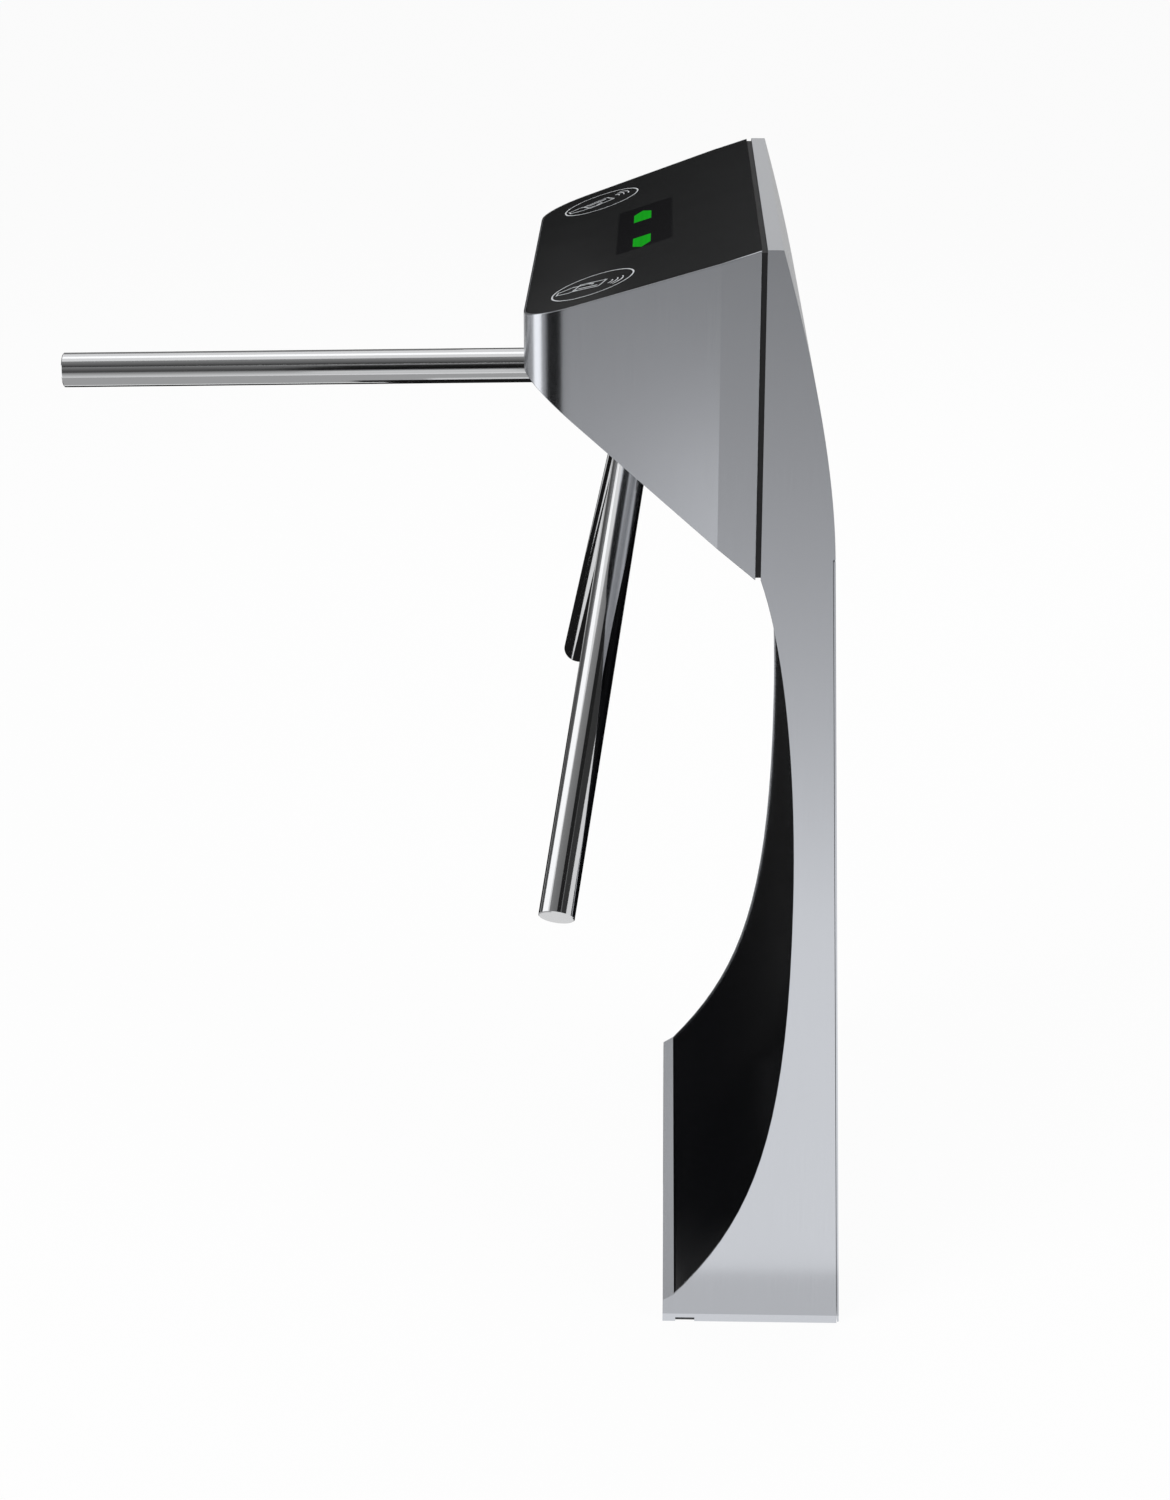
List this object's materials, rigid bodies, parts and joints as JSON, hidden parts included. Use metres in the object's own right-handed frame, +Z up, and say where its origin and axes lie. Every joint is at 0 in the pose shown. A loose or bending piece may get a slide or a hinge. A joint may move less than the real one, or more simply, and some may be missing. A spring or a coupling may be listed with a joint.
{
  "type": "tripod turnstile",
  "caption": "Waist-high tripod turnstile: leaning sheet-steel pedestal with a scooped side, wedge head with card readers and arrows, and rotating barrier arms.",
  "frame": {"origin": "on the floor at the centre of the base's footprint, which is the centre of the four anchor holes", "axes": "+Z is up; Y runs along the walking direction, along the depth of the cabinet; -X points across the passage, the way the head and the horizontal arm reach"},
  "size_m": [0.7311, 0.7304, 1.018],
  "materials": {
    "brushed_stainless": "brushed stainless sheet, fine vertical grain",
    "polished_stainless": "polished stainless tube",
    "black_scoop": "high gloss black",
    "black_glass": "black back-painted glass, polished",
    "smoked_window": "smoked acrylic",
    "green_lens": "lit green lens",
    "white_ring": "white inlay",
    "black_rubber": "matte black",
    "black_plastic": "fine texture",
    "grey_plastic": "fine texture",
    "painted_steel": "dark grey powder coat",
    "zinc_steel": "bright zinc plate",
    "machined_steel": "machined and ground",
    "cast_aluminium": "fine blasted casting",
    "brass": "machined",
    "circuit_board": "green solder mask"
  },
  "bodies": {
    "frame": {"pedestal_shell": "brushed_stainless", "scoop_panel": "black_scoop", "base_plate": "painted_steel", "frame_posts": "painted_steel", "neck_bracket": "painted_steel", "neck_gasket": "black_rubber", "hinge_leaves_fixed": "machined_steel", "hinge_pins": "machined_steel", "head_shell": "brushed_stainless", "head_back_plate": "painted_steel", "head_bolts": "zinc_steel", "plate_foam": "black_rubber", "top_plate": "black_glass", "display_window": "smoked_window", "arrow_lens_far": "green_lens", "arrow_lens_near": "green_lens", "reader_rings": "white_ring", "reader_modules": "black_plastic", "display_board": "circuit_board", "hub_bezel": "black_plastic", "bezel_screws": "zinc_steel", "chassis_plate": "painted_steel", "chassis_posts": "zinc_steel", "bearing_housing": "cast_aluminium", "housing_screws": "zinc_steel", "ball_bearings": "machined_steel", "drive_motor": "black_plastic", "pawl_posts": "machined_steel", "solenoids": "black_plastic", "equipment_panel": "zinc_steel", "control_board": "circuit_board", "power_supply": "cast_aluminium", "terminal_block": "grey_plastic", "cable_grommet": "black_rubber", "junction_board": "circuit_board", "wiring_loom": "black_rubber"},
    "tripod": {"hub": "cast_aluminium", "hub_cap": "black_plastic", "hub_screws": "zinc_steel", "arm_top": "polished_stainless", "arm_near": "polished_stainless", "arm_far": "polished_stainless", "arm_plugs": "machined_steel", "arm_bolts": "zinc_steel", "arm_caps": "polished_stainless", "main_shaft": "machined_steel", "bearing_spacer": "machined_steel", "drive_gear": "brass", "index_disc": "machined_steel", "shaft_nut": "zinc_steel"},
    "door": {"service_door": "brushed_stainless", "hinge_leaves_door": "machined_steel", "lock_body": "polished_stainless"},
    "lock": {"lock_cam": "brass"},
    "pinion": {"motor_pinion": "machined_steel"},
    "pawl_lower": {"pawl_lower": "machined_steel"},
    "pawl_upper": {"pawl_upper": "machined_steel"},
    "plunger_lower": {"plunger_lower": "machined_steel"},
    "plunger_upper": {"plunger_upper": "machined_steel"}
  },
  "joints": [
    {"name": "tripod_spin", "type": "hinge", "parent": "frame", "child": "tripod", "pos_m": [-0.10694, 0, 0.85586], "axis": [-0.6428, 0, -0.766], "continuous": true},
    {"name": "pinion_spin", "type": "hinge", "parent": "frame", "child": "pinion", "pos_m": [-0.10694, 0.06, 0.85586], "axis": [-0.6428, 0, -0.766], "continuous": true},
    {"name": "pawl_lower_turn", "type": "hinge", "parent": "frame", "child": "pawl_lower", "pos_m": [-0.07323, -0.059, 0.82758], "axis": [-0.6428, 0, -0.766], "range_deg": [0, 7]},
    {"name": "pawl_upper_turn", "type": "hinge", "parent": "frame", "child": "pawl_upper", "pos_m": [-0.14064, -0.059, 0.88414], "axis": [0.6428, 0, 0.766], "range_deg": [0, 7]},
    {"name": "plunger_lower_slide", "type": "slide", "parent": "frame", "child": "plunger_lower", "axis": [0, 1, 0], "range_m": [0, 0.00294]},
    {"name": "plunger_upper_slide", "type": "slide", "parent": "frame", "child": "plunger_upper", "axis": [0, 1, 0], "range_m": [0, 0.00294]},
    {"name": "door_swing", "type": "hinge", "parent": "frame", "child": "door", "pos_m": [0.083, 0.2743, 0], "axis": [-0.0335, 0, 0.9994], "range_deg": [0, 110]},
    {"name": "lock_turn", "type": "hinge", "parent": "door", "child": "lock", "pos_m": [0.0696, -0.22, 0.4], "axis": [0.9994, 0, 0.0335], "range_deg": [0, 90]}
  ],
  "couplings": [
    {"joint": "pinion_spin", "follows": "tripod_spin", "ratio": -3},
    {"joint": "plunger_lower_slide", "follows": "pawl_lower_turn", "m_per_rad": 0.024},
    {"joint": "plunger_upper_slide", "follows": "pawl_upper_turn", "m_per_rad": 0.024}
  ]
}
